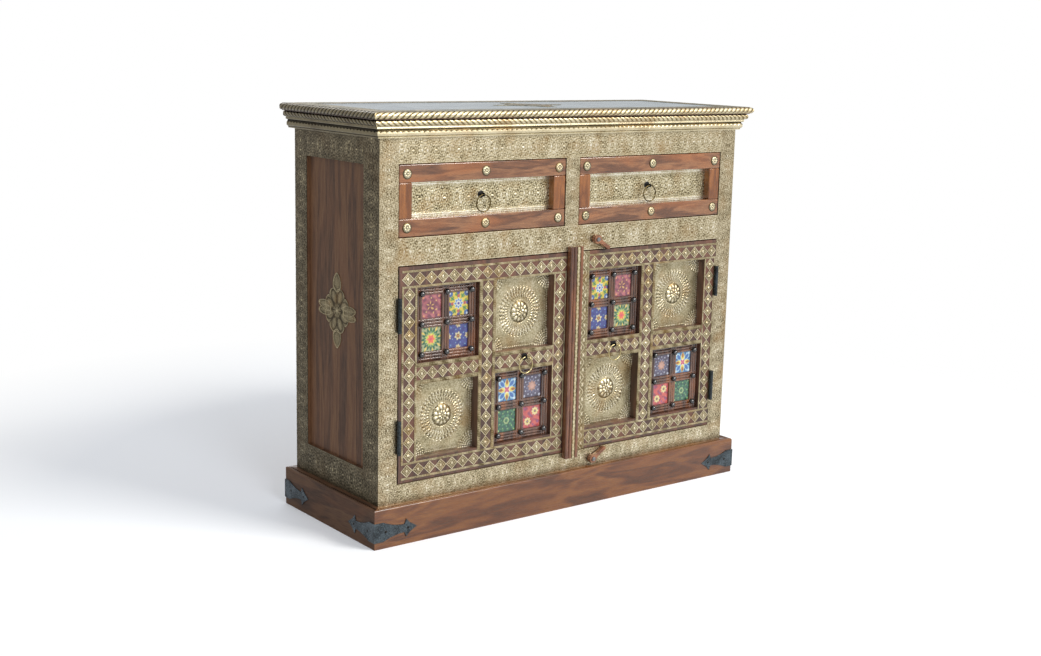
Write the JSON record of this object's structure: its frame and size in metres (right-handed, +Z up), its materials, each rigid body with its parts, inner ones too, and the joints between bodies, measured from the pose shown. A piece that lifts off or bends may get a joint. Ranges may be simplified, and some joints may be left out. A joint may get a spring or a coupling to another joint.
{
  "type": "brass-clad sideboard",
  "caption": "Wooden sideboard clad in embossed brass: drawers with ring pulls over doors with tiled lattices and sunburst panels, on a plinth with iron corner straps.",
  "frame": {"origin": "on the floor, under the middle of the bounding box", "axes": "+X along the front to the viewer's right, -Y out of the front, +Z up"},
  "size_m": [1.166, 0.43, 0.994],
  "materials": {
    "embossed_brass": "embossed sheet, satin, dark in the recesses",
    "bright_brass": "worn satin",
    "plinth_wood": "satin wax",
    "carcass_wood": "matte, plain",
    "polished_wood": "gloss lacquer",
    "red_wood": "gloss lacquer, red-brown",
    "door_wood": "satin, dark stain",
    "lattice_wood": "satin, reeded",
    "latch_wood": "satin, carved",
    "black_iron": "matte, hammered",
    "screw_steel": "dull satin",
    "black_lacquer": "gloss lacquer on turned beads",
    "glazed_tile": "gloss glaze, painted flowers"
  },
  "bodies": {
    "carcass": {"plinth_front": "plinth_wood", "plinth_sides": "plinth_wood", "plinth_back": "plinth_wood", "corner_straps": "black_iron", "front_posts": "carcass_wood", "back_frame": "carcass_wood", "back_panel": "carcass_wood", "side_rails": "carcass_wood", "side_panels": "polished_wood", "face_rail_top": "carcass_wood", "face_rail_middle": "carcass_wood", "face_rail_bottom": "carcass_wood", "drawer_divider": "carcass_wood", "floor_board": "carcass_wood", "shelf_board": "carcass_wood", "bearers": "carcass_wood", "front_brass": "embossed_brass", "side_brass": "embossed_brass", "side_motifs": "embossed_brass", "cornice_moulding": "embossed_brass", "rope_bead_lower": "embossed_brass", "rope_bead_upper": "embossed_brass", "top_board": "polished_wood", "top_brass": "embossed_brass", "post_hinges": "black_iron", "latch_screws": "screw_steel"},
    "drawer_left": {"drawer_frame_left": "red_wood", "drawer_panel_left": "embossed_brass", "drawer_box_left": "carcass_wood", "drawer_studs_left": "bright_brass", "drawer_staple_left": "black_iron"},
    "drawer_ring_left": {"drawer_ring_left": "bright_brass"},
    "drawer_right": {"drawer_frame_right": "red_wood", "drawer_panel_right": "embossed_brass", "drawer_box_right": "carcass_wood", "drawer_studs_right": "bright_brass", "drawer_staple_right": "black_iron"},
    "drawer_ring_right": {"drawer_ring_right": "bright_brass"},
    "door_left": {"door_frame_left": "door_wood", "door_bands_left": "embossed_brass", "door_embossed_left": "embossed_brass", "door_lattice_left": "lattice_wood", "door_tiles_left": "glazed_tile", "door_beads_left": "black_lacquer", "door_hinges_left": "black_iron", "door_eye_left": "black_iron"},
    "door_ring_left": {"door_ring_left": "bright_brass"},
    "door_right": {"door_frame_right": "door_wood", "door_bands_right": "embossed_brass", "door_embossed_right": "embossed_brass", "door_lattice_right": "lattice_wood", "door_tiles_right": "glazed_tile", "door_beads_right": "black_lacquer", "door_hinges_right": "black_iron", "door_eye_right": "black_iron", "astragal": "lattice_wood"},
    "door_ring_right": {"door_ring_right": "bright_brass"},
    "latch_upper": {"latch_upper": "latch_wood"},
    "latch_lower": {"latch_lower": "latch_wood"}
  },
  "joints": [
    {"name": "drawer_left_slide", "type": "slide", "parent": "carcass", "child": "drawer_left", "axis": [0, -1, 0], "range_m": [0, 0.26]},
    {"name": "drawer_ring_left_swing", "type": "hinge", "parent": "drawer_left", "child": "drawer_ring_left", "pos_m": [-0.2605, -0.174, 0.798], "axis": [-1, 0, 0], "range_deg": [-10, 85]},
    {"name": "drawer_right_slide", "type": "slide", "parent": "carcass", "child": "drawer_right", "axis": [0, -1, 0], "range_m": [0, 0.26]},
    {"name": "drawer_ring_right_swing", "type": "hinge", "parent": "drawer_right", "child": "drawer_ring_right", "pos_m": [0.2605, -0.174, 0.798], "axis": [-1, 0, 0], "range_deg": [-10, 85]},
    {"name": "door_left_hinge", "type": "hinge", "parent": "carcass", "child": "door_left", "pos_m": [-0.49875, -0.1892, 0.39275], "axis": [0, 0, -1], "range_deg": [0, 115]},
    {"name": "door_ring_left_swing", "type": "hinge", "parent": "door_left", "child": "door_ring_left", "pos_m": [-0.1375, -0.1912, 0.40075], "axis": [-1, 0, 0], "range_deg": [-4, 85]},
    {"name": "door_right_hinge", "type": "hinge", "parent": "carcass", "child": "door_right", "pos_m": [0.49875, -0.1892, 0.39275], "axis": [0, 0, 1], "range_deg": [0, 115]},
    {"name": "door_ring_right_swing", "type": "hinge", "parent": "door_right", "child": "door_ring_right", "pos_m": [0.1475, -0.1912, 0.40075], "axis": [-1, 0, 0], "range_deg": [-4, 85]},
    {"name": "latch_upper_turn", "type": "hinge", "parent": "carcass", "child": "latch_upper", "pos_m": [0.076, -0.1903, 0.6745], "axis": [0, 1, 0], "range_deg": [-32, 58]},
    {"name": "latch_lower_turn", "type": "hinge", "parent": "carcass", "child": "latch_lower", "pos_m": [0.084, -0.1903, 0.111], "axis": [0, -1, 0], "range_deg": [-32, 58]}
  ]
}
